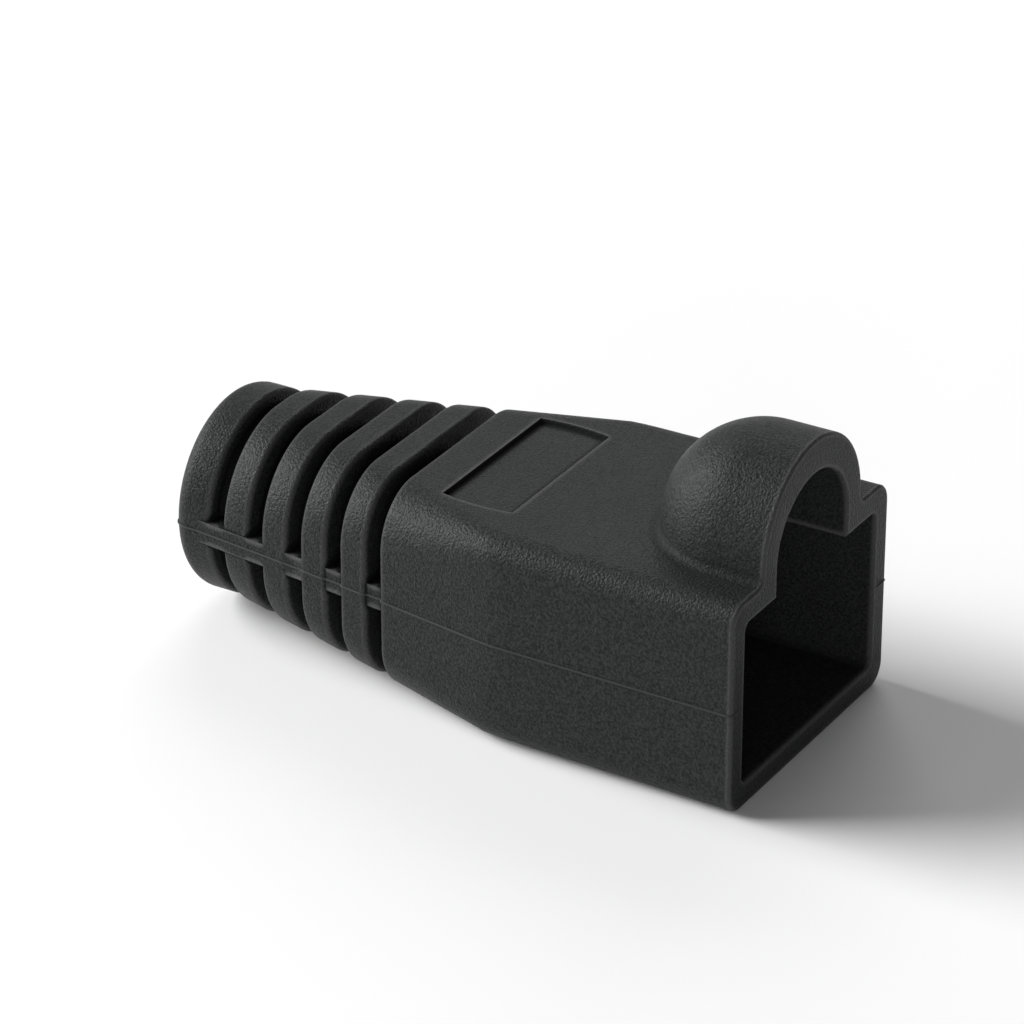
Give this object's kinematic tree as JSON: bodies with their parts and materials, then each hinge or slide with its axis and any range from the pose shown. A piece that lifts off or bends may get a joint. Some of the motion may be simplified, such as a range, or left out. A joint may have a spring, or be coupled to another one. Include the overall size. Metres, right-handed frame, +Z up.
{
  "type": "rj45 strain relief boot",
  "caption": "Soft sleeve for the back of a modular network plug: box-shaped hood with a mouth and a latch bubble, grooved neck and round collar for the cable.",
  "frame": {"origin": "on the flat underside, midway along the boot and midway across it", "axes": "+X along the cable's axis towards the mouth that takes the plug, +Z up through the latch bubble"},
  "size_m": [0.0298, 0.014, 0.0149],
  "materials": {
    "soft_pvc": "fine matte moulded grain, charcoal black"
  },
  "bodies": {
    "root": {"boot": "soft_pvc"}
  },
  "joints": []
}
